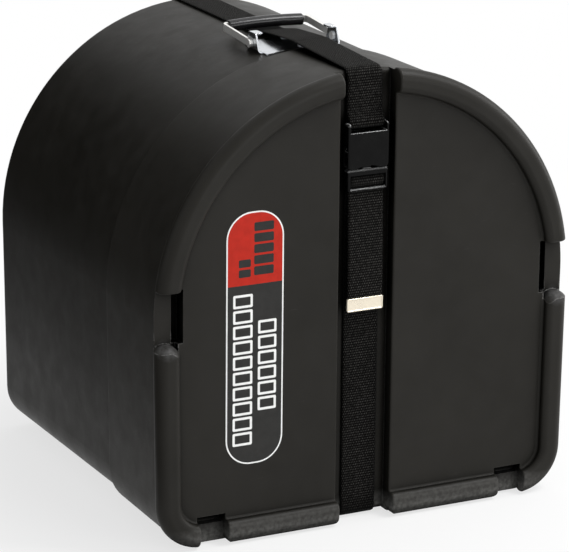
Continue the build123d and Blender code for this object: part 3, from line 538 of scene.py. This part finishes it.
chrome = (0.66, 0.68, 0.71)
nickel = (0.86, 0.85, 0.82)
pale_nickel = (0.82, 0.74, 0.60)
zinc = (0.30, 0.31, 0.33)
fine_pits = 0.004 * mm
coarse_pits = 0.02 * mm
materials = {
    "shell": shell_plastic("shell_plastic", (0.0090, 0.0082, 0.0064), (0.0118, 0.0108, 0.0086)),
    "lid": shell_plastic("lid_plastic", (0.0124, 0.0114, 0.0092), (0.0158, 0.0146, 0.0120), worn_places),
    "foam": lining_foam(),
    "webbing": woven_webbing(),
    "thread": sewing_thread(),
    "buckle": buckle_plastic(),
    "mirror": plated_metal("bright_chrome", chrome, roughness=(0.14, 0.26), pit_depth=fine_pits),
    "bail": plated_metal("bright_nickel", nickel, (0.26, 0.38), pit_depth=coarse_pits, metallic=0.6),
    "zinc": plated_metal("zinc_plate", zinc, roughness=(0.4, 0.5), pit_depth=coarse_pits),
    "tip": plated_metal("pale_nickel", pale_nickel, (0.24, 0.34), pit_depth=fine_pits, metallic=0.45),
    "grip": grip_vinyl(),
    "ink_white": printed_film("white_ink", (0.86, 0.86, 0.84), (0.92, 0.92, 0.91)),
    "ink_red": printed_film("red_ink", (0.43, 0.012, 0.002), (0.51, 0.016, 0.004)),
    "ink_dark": printed_film("dark_ink", (0.018, 0.0175, 0.0165), (0.024, 0.0235, 0.022)),
}

carried_over = {
    "body_shell": "shell",
    "lid_shell": "lid",
    "handle_plate": "mirror",
    "handle_pivot_rivets": "bail",
    "handle_bail": "bail",
    "handle_grip": "grip",
    "handle_backing_plate": "zinc",
    "handle_rivets": "zinc",
    "buckle_socket": "buckle",
    "buckle_plug": "buckle",
    "prong_left": "buckle",
    "prong_right": "buckle",
}
for node_name, material_name in carried_over.items():
    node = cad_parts[node_name]
    node.data.materials.clear()
    node.data.materials.append(materials[material_name])


# Webbing: the centre lines are those of the CAD straps
strap_width = 38.0 * mm
strap_thickness = 1.9 * mm
strap_gap = 0.2 * mm
layer_gap = 0.25 * mm
strap_bend = 3.0 * mm
strap_crest_bend = 40.0 * mm
strap_offset = strap_gap + strap_thickness / 2

# Section of the webbing: it thins out near its edges, and its thickness wavers
section_columns = 20
sample_spacing = 3.0 * mm
selvedge_share = 0.12
edge_thickness_share = 0.45
ripple_share = 0.06
ripples_across = 90
ripples_along = 60
ripple_seed = 0.5


def webbing_section():
    """Points round the webbing's section: place across, and lift from the centre line."""
    half = strap_width / 2
    section = []
    for side in (1, -1):
        for column in range(section_columns + 1):
            x = half * (2 * column / section_columns - 1) * side
            inward = min(1.0, (half - abs(x)) / (selvedge_share * half))
            full = math.sqrt(1 - (1 - inward) ** 2)
            thick_share = edge_thickness_share + (1 - edge_thickness_share) * full
            section.append((x, side * strap_thickness / 2 * thick_share))
    return section


def webbing_piece(name, points, bends, body):
    """Strap along a centre line in the side view, with soft selvedges and a mapped weave."""
    path = rounded_path(points, bends, sample_spacing)
    section = webbing_section()

    def build(shape):
        coords = shape.loops.layers.uv.new("weave")
        rings = []
        length = 0.0
        lengths = []
        for place, point in enumerate(path):
            before = path[max(0, place - 1)]
            after = path[min(len(path) - 1, place + 1)]
            along = (after - before).normalized()
            normal = Vector((-along.y, along.x))
            length += (point - before).length
            lengths.append(length)
            ring = []
            for x, lift in section:
                wave = noise.noise(Vector((x * ripples_across, length * ripples_along, ripple_seed)))
                spot = point + normal * lift * (1 + ripple_share * wave)
                ring.append(shape.verts.new((x, spot.x, spot.y)))
            rings.append(ring)
        count = len(section)
        for place in range(len(rings) - 1):
            for column in range(count):
                ahead = (column + 1) % count
                corners = ((place, column), (place, ahead), (place + 1, ahead), (place + 1, column))
                face = shape.faces.new([rings[row][spot] for row, spot in corners])
                for loop, (row, spot) in zip(face.loops, corners):
                    loop[coords].uv = (section[spot][0] + strap_width, lengths[row])
        for ring, length_here in ((rings[0], 0.0), (rings[-1], length)):
            face = shape.faces.new(ring)
            for loop in face.loops:
                loop[coords].uv = (loop.vert.co.x + strap_width, length_here)

    obj = mesh_object(name, build)
    finish_piece(obj, body, materials["webbing"], [name.replace("webbing", "strap")])


# Where the strap runs: the lid's channel and mouth, the buckle, the handle plate and the body
channel_depth = 22.4 * mm
channel_end_round = 5.5 * mm
lid_mouth_inset = 4.5 * mm
lid_strap_lift = 5.6 * mm
band_inset = 2.6 * mm
mouth_gap = 0.05 * mm
rear_round = 11.0 * mm
rivet_strap_gap = 0.44 * mm
socket_low, socket_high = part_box("buckle_socket")
plug_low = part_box("buckle_plug")[0]
plate_low, plate_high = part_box("handle_plate")

channel_layer_depth = channel_depth - strap_offset
sewn_front_depth = channel_layer_depth - strap_thickness - layer_gap
lid_strap_top = case_height - lid_mouth_inset + strap_offset + lid_strap_lift
lid_strap_base = lid_mouth_inset - strap_offset
face_strap_inset = band_inset - strap_offset
body_strap_top = body_top_height + strap_offset
body_strap_base = case_height - body_top_height - strap_offset
body_strap_rear = shell_depth + strap_offset
plate_rear_depth = plate_high.y - front_y
plate_strap_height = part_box("handle_rivets")[1].z + rivet_strap_gap + strap_offset
buckle_mid_depth = (socket_low.y + socket_high.y) / 2 - front_y
lower_strap_end = plug_low.z - 4.0 * mm


def body_strap():
    """Rear length of the strap: from the lid's mouth over the plate, down the back and under the base."""
    mouth_run = 12.0 * mm
    mouth_rise = 0.3 * mm
    crest_rise = 3.0 * mm
    crest_run = 30.0 * mm
    base_run = 17.0 * mm
    rear_bend = rear_round + strap_offset
    webbing_piece(
        "webbing_body_run",
        [
            depth_point(lid_depth + mouth_gap, lid_strap_top),
            depth_point(lid_depth + mouth_run, lid_strap_top + mouth_rise),
            depth_point(plate_rear_depth, plate_strap_height + crest_rise),
            depth_point(plate_rear_depth + crest_run, body_strap_top),
            depth_point(body_strap_rear, body_strap_top),
            depth_point(body_strap_rear, body_strap_base),
            depth_point(lid_depth + base_run, body_strap_base),
            depth_point(lid_depth + mouth_gap, lid_strap_base),
        ],
        [strap_crest_bend, strap_crest_bend, strap_crest_bend, rear_bend, rear_bend, strap_bend],
        "case_body",
    )


def upper_strap():
    """Length of strap over the lid's top, down the channel, round the socket's bar and sewn to itself."""
    bar_depth = buckle_mid_depth + 2.3 * mm
    bar_turn = 1.8 * mm + strap_offset
    bar_base = socket_high.z - 4.2 * mm
    loop_start = socket_high.z + 1.0 * mm
    sewn_start = socket_high.z + 9.5 * mm
    sewn_end = case_height - 14.0 * mm
    top_bend = channel_end_round + strap_offset + channel_layer_depth - sewn_front_depth
    webbing_piece(
        "webbing_upper_run",
        [
            depth_point(lid_depth, lid_strap_top),
            depth_point(sewn_front_depth, case_height - face_strap_inset),
            depth_point(sewn_front_depth, sewn_start),
            depth_point(bar_depth - bar_turn, loop_start),
            depth_point(bar_depth - bar_turn, bar_base - strap_offset),
            depth_point(bar_depth + bar_turn, bar_base - strap_offset),
            depth_point(bar_depth + bar_turn, socket_high.z + strap_bend),
            depth_point(channel_layer_depth, sewn_start),
            depth_point(channel_layer_depth, sewn_end),
        ],
        [top_bend, strap_bend, strap_bend, bar_turn, bar_turn, strap_bend, strap_bend],
        "lid",
    )


def lower_strap():
    """Length of strap from the lid's mouth at the base up the channel to just below the plug."""
    webbing_piece(
        "webbing_lower_run",
        [
            depth_point(lid_depth, lid_strap_base),
            depth_point(channel_layer_depth, face_strap_inset),
            depth_point(channel_layer_depth, lower_strap_end),
        ],
        [channel_end_round + strap_offset],
        "lid",
    )


def loose_end():
    """Strap through the plug's two bars, then hanging down the channel to its metal tip."""
    load_layer_depth = channel_layer_depth - strap_thickness - strap_gap
    load_layer_start = plug_low.z - 24.0 * mm
    middle_bar_top = plug_low.z + 13.5 * mm
    middle_bar_centre = middle_bar_top - 1.7 * mm
    end_bar_centre = plug_low.z + 1.5 * mm
    turn = 1.6 * mm + strap_offset
    tail_layer_depth = buckle_mid_depth - 0.5 * mm + strap_offset
    tail_hang_depth = channel_depth - 10.2 * mm
    tail_hang_start = end_bar_centre - 90.0 * mm
    webbing_piece(
        "webbing_tail",
        [
            depth_point(load_layer_depth, load_layer_start),
            depth_point(load_layer_depth, lower_strap_end),
            depth_point(buckle_mid_depth + turn, middle_bar_centre - strap_bend),
            depth_point(buckle_mid_depth + turn, middle_bar_top + strap_offset),
            depth_point(buckle_mid_depth - turn, middle_bar_top + strap_offset),
            depth_point(buckle_mid_depth - turn, middle_bar_centre - strap_bend),
            depth_point(tail_layer_depth, end_bar_centre + strap_thickness),
            depth_point(tail_layer_depth, end_bar_centre - strap_bend),
            depth_point(tail_hang_depth, tail_hang_start),
            depth_point(tail_hang_depth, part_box("strap_tail")[0].z),
        ],
        [strap_bend, strap_bend, turn, turn, strap_thickness, strap_thickness, strap_bend, strap_bend],
        "plug",
    )


def strap_tip():
    """Pressed metal end: round-cornered sheet with a raised rim round a sunk panel, front and back."""
    low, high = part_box("strap_tip")
    middle = (low.y + high.y) / 2
    half = (high.y - low.y) / 2
    corner = 1.9 * mm
    least_corner = 0.3 * mm
    insets = (0.0, 0.12 * mm, 0.45 * mm, 1.1 * mm, 1.6 * mm, 2.2 * mm)
    thickness_shares = (0.55, 0.85, 1.0, 1.0, 0.72, 0.70)

    def face_of_tip(shape, side):
        rings = []
        for inset, share in zip(insets, thickness_shares):
            radius = max(corner - inset, least_corner)
            outline = rounded_box(low.x + inset, low.z + inset, high.x - inset, high.z - inset, radius)
            rings.append(ring_at(shape, outline, middle + side * half * share))
        for first, second in zip(rings, rings[1:]):
            bridge(shape, first, second)
        shape.faces.new(rings[-1])
        return rings[0]

    def build(shape):
        front = face_of_tip(shape, -1)
        back = face_of_tip(shape, 1)
        bridge(shape, front, back)

    obj = mesh_object("metal_strap_tip", build)
    finish_piece(obj, "plug", materials["tip"], ["strap_tip"])
    smooth_by_angle(obj, degrees=35)


def loop_stitches():
    """Raised thread stitches that close the loop round the socket's bar: a box with a cross in it."""
    low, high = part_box("strap_loop_stitching")
    radius = 0.38 * mm
    flat_share = 0.75
    pitch = 3.2 * mm
    margin = 0.35 * mm
    bare_share = 0.08

    def build(shape):
        def stitch(start, end):
            along = end - start
            turn = Vector((0, 0, 1)).rotation_difference(along).to_matrix().to_4x4()
            stretch = Matrix.Diagonal((radius, radius * flat_share, along.length / 2, 1))
            place = Matrix.Translation((start + end) / 2) @ turn @ stretch
            bmesh.ops.create_uvsphere(shape, u_segments=8, v_segments=8, radius=1.0, matrix=place)

        def row(first, last):
            count = max(1, round((last - first).length / pitch))
            for place in range(count):
                start = first.lerp(last, (place + bare_share) / count)
                end = first.lerp(last, (place + 1 - bare_share) / count)
                stitch(start, end)

        y = low.y + radius * flat_share
        corners = [
            Vector((low.x + margin, y, low.z + margin)),
            Vector((high.x - margin, y, low.z + margin)),
            Vector((high.x - margin, y, high.z - margin)),
            Vector((low.x + margin, y, high.z - margin)),
        ]
        for first, last in zip(corners, corners[1:] + corners[:1]):
            row(first, last)
        row(corners[0], corners[2])
        row(corners[1], corners[3])

    obj = mesh_object("thread_loop_stitching", build)
    finish_piece(obj, "lid", materials["thread"], ["strap_loop_stitching"])


# Foam: shell-shaped lining, end pad and two lid pads
lining_thickness = 8.0 * mm
pad_edge = 4.5 * mm
pad_corner = 12.0 * mm
pad_crown = 1.2 * mm
pad_ripples = 14
pad_ripple_seed = 3.1


def pad_profile(reach):
    """Shrink and height of a pad's rings, as shares: its side, its rounded edge, then its face."""
    side_share = 0.55
    face_share = 0.95
    inmost_shrink = 0.97
    edge_steps = 5
    face_steps = 8
    edge_shrink = pad_edge / reach
    profile = [(0.0, 0.0), (0.0, side_share)]
    for step in range(1, edge_steps + 1):
        angle = quarter_turn * step / edge_steps
        rise = (face_share - side_share) * math.sin(angle)
        profile.append((edge_shrink * (1 - math.cos(angle)), side_share + rise))
    for step in range(1, face_steps + 1):
        profile.append((edge_shrink + (inmost_shrink - edge_shrink) * step / face_steps, face_share))
    return profile


def foam_pad(name, outline, back_y, face_y, crown, body, node):
    """Flat-backed foam pad with soft edges and a gently crowned front, from a front-view outline."""
    centre = sum(outline, Vector((0, 0))) / len(outline)
    reach = min((point - centre).length for point in outline)
    thickness = back_y - face_y
    crowned_share = 0.9
    edge_swell = 0.35
    ripple_part = 0.4

    def build(shape):
        rings = []
        for shrink, share in pad_profile(reach):
            ring = []
            for point in outline:
                spot = centre + (point - centre) * (1 - shrink)
                depth = back_y - thickness * share
                if share > crowned_share:
                    swell = edge_swell + (1 - edge_swell) * (1 - (1 - shrink) ** 2)
                    wave = noise.noise(Vector((spot.x * pad_ripples, spot.y * pad_ripples, pad_ripple_seed)))
                    depth -= crown * swell * (1 - ripple_part + ripple_part * wave)
                ring.append(shape.verts.new((spot.x, depth, spot.y)))
            rings.append(ring)
        for first, second in zip(rings, rings[1:]):
            bridge(shape, first, second)
        shape.faces.new(rings[0])
        inmost = rings[-1]
        middle = shape.verts.new(sum((vertex.co for vertex in inmost), Vector()) / len(inmost))
        for place in range(len(inmost)):
            shape.faces.new((inmost[place], inmost[(place + 1) % len(inmost)], middle))

    obj = mesh_object(name, build)
    finish_piece(obj, body, materials["foam"], [node])


def half_outline(inset, inner_x, side, corner):
    """Front-view outline of one half of the lid's face, beside the channel."""
    run_steps = 24
    outer = [point for point in case_outline(inset) if point.x * side > inner_x]
    outer.sort(key=lambda point: math.atan2(point.y - arc_centre_height, point.x * side))
    centre_x = side * (inner_x + corner)
    top_centre = Vector((centre_x, outer[-1].y - corner))
    base_centre = Vector((centre_x, outer[0].y + corner))
    turn = side * quarter_turn
    top_arc = arc(top_centre, corner, quarter_turn, turn, steps=5)
    base_arc = arc(base_centre, corner, quarter_turn + turn, turn, steps=5)
    run = [top_arc[-1].lerp(base_arc[0], step / run_steps) for step in range(1, run_steps)]
    rest = [point for point in outer if point.x * side > inner_x + corner]
    return rest + top_arc + run + base_arc


def foam_pads():
    """The end pad and the two lid pads, each a little softer and fuller than its CAD solid."""
    low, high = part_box("body_end_pad")
    outline = case_outline(low.z)
    foam_pad("foam_end_pad", outline, high.y, low.y, pad_crown, "case_body", "body_end_pad")
    for side, name in ((-1, "left"), (1, "right")):
        low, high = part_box("lid_pad_" + name)
        inner_x = min(abs(low.x), abs(high.x))
        outline = half_outline(low.z, inner_x, side, pad_corner)
        foam_pad("foam_lid_pad_" + name, outline, low.y, high.y, -pad_crown, "lid", "lid_pad_" + name)


def foam_lining():
    """Foam sleeve round the body's wall, with a soft mouth and a relief for the backing plate."""
    low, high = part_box("body_wall_lining")
    outer = case_outline(low.z)
    inner = case_outline(low.z + lining_thickness)
    relief_margin = 1.0 * mm
    relief_low = plate_low.y - relief_margin
    relief_high = plate_high.y + relief_margin
    relief_half_width = 23.0 * mm
    relief_depth = 3.4 * mm
    mouth_edge = 2.5 * mm
    ripple_depth = 0.35 * mm
    ripples = 11
    steps = 40

    def outer_shift(point, y):
        under_plate = relief_low < y < relief_high and abs(point.x) < relief_half_width
        return relief_depth if under_plate and point.y > arc_centre_height else 0

    def inner_shift(point, y):
        return ripple_depth * (1 + noise.noise(Vector((point.x * ripples, y * ripples, point.y * ripples))))

    def build(shape):
        sleeves = []
        for step in range(steps + 1):
            y = low.y + (high.y - low.y) * step / steps
            inward = min(1, (y - low.y) / mouth_edge)
            pinch = mouth_edge * (1 - math.sqrt(1 - (1 - inward) ** 2))
            sleeve = []
            for line, other_line, extra in ((outer, inner, outer_shift), (inner, outer, inner_shift)):
                ring = []
                for point, other in zip(line, other_line):
                    toward = (other - point).normalized()
                    spot = point + toward * (pinch + extra(point, y))
                    ring.append(shape.verts.new((spot.x, y, spot.y)))
                sleeve.append(ring)
            sleeves.append(sleeve)
        for first, second in zip(sleeves, sleeves[1:]):
            bridge(shape, first[0], second[0])
            bridge(shape, first[1], second[1])
        bridge(shape, *sleeves[0])
        bridge(shape, *sleeves[-1])

    obj = mesh_object("foam_wall_lining", build)
    finish_piece(obj, "case_body", materials["foam"], ["body_wall_lining"])
    smooth_by_angle(obj, degrees=50)


# Label: white film under a red head and a dark body, with outlined white boxes and solid dark ones
label_outline = 1.5 * mm
label_radius = 27.0 * mm
ink_thickness = 0.05 * mm
red_base_height = 261.0 * mm
box_gap = 2.2 * mm
box_line = 2.5 * mm
box_radius = 1.5 * mm
blank_radius = 0.6 * mm


def plate(name, outline, back_y, thickness, material, nodes=()):
    """Thin flat plate with this front-view outline, standing forward from its back."""

    def build(shape):
        back = ring_at(shape, outline, back_y)
        front = ring_at(shape, outline, back_y - thickness)
        shape.faces.new(back)
        shape.faces.new(front)
        bridge(shape, back, front)

    obj = mesh_object(name, build)
    finish_piece(obj, "lid", material, nodes)
    smooth_by_angle(obj, degrees=40)


def name_label():
    """The label's layers, each a thin print on the one behind it."""
    low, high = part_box("name_label")
    film = rounded_box(low.x, low.z, high.x, high.z, label_radius)
    plate("label_film", film, high.y, high.y - low.y, materials["ink_white"], ["name_label"])
    low_x = low.x + label_outline
    high_x = high.x - label_outline
    radius = label_radius - label_outline
    red = rounded_box(low_x, red_base_height, high_x, high.z - label_outline, radius, flat_base=True)
    dark = rounded_box(low_x, low.z + label_outline, high_x, red_base_height, radius, flat_top=True)
    plate("label_red_field", red, low.y, ink_thickness, materials["ink_red"])
    plate("label_dark_field", dark, low.y, ink_thickness, materials["ink_dark"])
    box_y = low.y - ink_thickness
    blank_y = box_y - ink_thickness

    def box_column(number, ink, shares, base, top, count):
        """Boxes one over the other between two shares of the width: white outlines or solid dark ones."""
        left, right = (low_x + share * (high_x - low_x) for share in shares)
        pitch = (top - base) / count
        for place in range(count):
            low_z = base + place * pitch
            high_z = low_z + pitch - box_gap
            name = "label_box_%d_%02d" % (number, place)
            box = rounded_box(left, low_z, right, high_z, box_radius)
            plate(name, box, box_y, ink_thickness, materials["ink_" + ink])
            if ink == "white":
                edges = (left + box_line, low_z + box_line, right - box_line, high_z - box_line)
                blank = rounded_box(*edges, blank_radius)
                plate(name + "_blank", blank, blank_y, ink_thickness, materials["ink_dark"])

    box_column(0, "white", shares=(0.10, 0.46), base=98.0 * mm, top=254.0 * mm, count=10)
    box_column(1, "white", shares=(0.56, 0.90), base=132.0 * mm, top=226.0 * mm, count=6)
    box_column(2, "dark", shares=(0.48, 0.84), base=270.0 * mm, top=325.0 * mm, count=5)
    box_column(3, "dark", shares=(0.20, 0.42), base=269.0 * mm, top=289.0 * mm, count=2)


body_strap()
upper_strap()
lower_strap()
loose_end()
strap_tip()
loop_stitches()
foam_pads()
foam_lining()
name_label()

# Studio: pale floor that fades into a white surround, large soft lamps, dark flags out of view
scene = bpy.context.scene
flag_grey = (0.02, 0.02, 0.02)
floor_grey = (0.86, 0.86, 0.855)
floor_radius = 6.0
floor_drop = 0.4 * mm
floor_fade_span = (0.22, 0.75)
floor_fade_shares = (0.7, 1.0)
fill_color = (0.97, 0.98, 1.0, 1)
fill_strength = 0.4
white = (1, 1, 1, 1)
case_middle = (0.0, 0.0, 0.22)


def larger(tree, first, second):
    """The larger of two values."""
    node = tree.nodes.new("ShaderNodeMath")
    node.operation = "MAXIMUM"
    tree.links.new(first, node.inputs[0])
    tree.links.new(second, node.inputs[1])
    return node.outputs[0]


def seen_ray(tree):
    """1 for camera, glossy and transmission rays, 0 for the rays that light things."""
    rays = tree.nodes.new("ShaderNodeLightPath").outputs
    seen = larger(tree, rays["Is Camera Ray"], rays["Is Glossy Ray"])
    return larger(tree, seen, rays["Is Transmission Ray"])


def mixed_surface(tree, share, first, second, output):
    """Sends a mix of two shaders to this output."""
    mix = tree.nodes.new("ShaderNodeMixShader")
    tree.links.new(share, mix.inputs["Fac"])
    tree.links.new(first.outputs[0], mix.inputs[1])
    tree.links.new(second.outputs[0], mix.inputs[2])
    tree.links.new(mix.outputs[0], tree.nodes[output].inputs["Surface"])


def white_world():
    """World: white where it is seen or mirrored, a softer fill where it lights."""
    world = bpy.data.worlds.new("surround")
    scene.world = world
    world.use_nodes = True
    tree = world.node_tree
    fill = tree.nodes["Background"]
    fill.inputs["Color"].default_value = fill_color
    fill.inputs["Strength"].default_value = fill_strength
    plain = tree.nodes.new("ShaderNodeBackground")
    plain.inputs["Color"].default_value = white
    plain.inputs["Strength"].default_value = 1.0
    mixed_surface(tree, seen_ray(tree), fill, plain, "World Output")


def pale_floor():
    """Round floor: a pale matt surface near the case that turns plain white further off."""

    def build(shape):
        bmesh.ops.create_circle(shape, cap_ends=True, segments=96, radius=floor_radius)

    floor = mesh_object("floor", build, face_outward=False)
    floor.location.z = -floor_drop
    finish = Finish("floor_white", floor_grey, roughness=0.9, specular=0.0)
    glow = finish.nodes.new("ShaderNodeEmission")
    glow.inputs["Color"].default_value = white
    glow.inputs["Strength"].default_value = 1.0
    place = finish.nodes.new("ShaderNodeNewGeometry")
    length = finish.nodes.new("ShaderNodeVectorMath")
    length.operation = "LENGTH"
    finish.links.new(place.outputs["Position"], length.inputs[0])
    fade = finish.spread(length.outputs["Value"], floor_fade_span, floor_fade_shares)
    fade.node.interpolation_type = "SMOOTHSTEP"
    share = finish.times(fade, seen_ray(finish.tree))
    mixed_surface(finish.tree, share, finish.shader, glow, "Material Output")
    floor.data.materials.append(finish.material)


def aim(obj, place, target, axis):
    """Puts an object at a place and points this axis of it at the target."""
    obj.location = place
    obj.rotation_mode = "QUATERNION"
    obj.rotation_quaternion = (Vector(target) - Vector(place)).to_track_quat(axis, "Y")


def dark_flag(name, place, target, size):
    """Dark card that only reflections see: it keeps that side of the glossy plastic dark."""

    def build(shape):
        bmesh.ops.create_grid(shape, x_segments=1, y_segments=1, size=0.5)

    flag = mesh_object(name, build, face_outward=False)
    flag.scale = (*size, 1)
    aim(flag, place, target, "Z")
    flag.data.materials.append(Finish(name, flag_grey, roughness=0.9, specular=0.0).material)
    flag.visible_camera = False
    flag.visible_diffuse = False
    flag.visible_shadow = False


def soft_lamp(name, place, size, power):
    """White rectangular softbox aimed at the middle of the case."""
    data = bpy.data.lights.new(name, "AREA")
    data.shape = "RECTANGLE"
    data.size, data.size_y = size
    data.energy = power
    aim(linked(name, data), place, case_middle, "-Z")


def camera():
    """Camera fitted to the photograph: 569 by 552 pixels, level horizon but for half a degree."""
    image_width = 569
    focal_pixels = 3350.74
    place = (-1.4874, -2.9714, 1.1973)
    yaw, pitch, roll = (math.radians(angle) for angle in (26.79, 16.73, 0.54))
    forward = Vector((math.sin(yaw) * math.cos(pitch), math.cos(yaw) * math.cos(pitch), -math.sin(pitch)))
    right = Vector((math.cos(yaw), -math.sin(yaw), 0))
    up = right.cross(forward)
    rolled_right = math.cos(roll) * right + math.sin(roll) * up
    rolled_up = math.cos(roll) * up - math.sin(roll) * right
    data = bpy.data.cameras.new("camera")
    data.sensor_width = 36.0
    data.sensor_fit = "HORIZONTAL"
    data.lens = focal_pixels / image_width * data.sensor_width
    data.clip_start = 0.1
    data.clip_end = 50.0
    turn = Matrix((rolled_right, rolled_up, -forward)).transposed().to_4x4()
    obj = linked("camera", data)
    obj.matrix_world = Matrix.Translation(place) @ turn
    scene.camera = obj


white_world()
pale_floor()
soft_lamp("top_box", place=(0.6, 0.5, 2.3), size=(1.8, 1.4), power=8.0)
soft_lamp("bead_box", place=(0.95, -0.7, 1.85), size=(0.8, 0.7), power=24.0)
soft_lamp("front_box", place=(0.9, -2.7, 0.75), size=(1.3, 1.1), power=20.0)
soft_lamp("right_box", place=(2.3, -0.4, 0.9), size=(0.7, 1.6), power=23.0)
dark_flag("rear_left_flag", place=(-0.92, 1.3, 0.76), target=(0, 0, 0.76), size=(2.0, 1.52))
dark_flag("left_mat", place=(-1.24, 0.65, 0.001), target=(-1.24, 0.65, 1.0), size=(1.76, 2.3))
camera()
scene.view_settings.view_transform = "Standard"
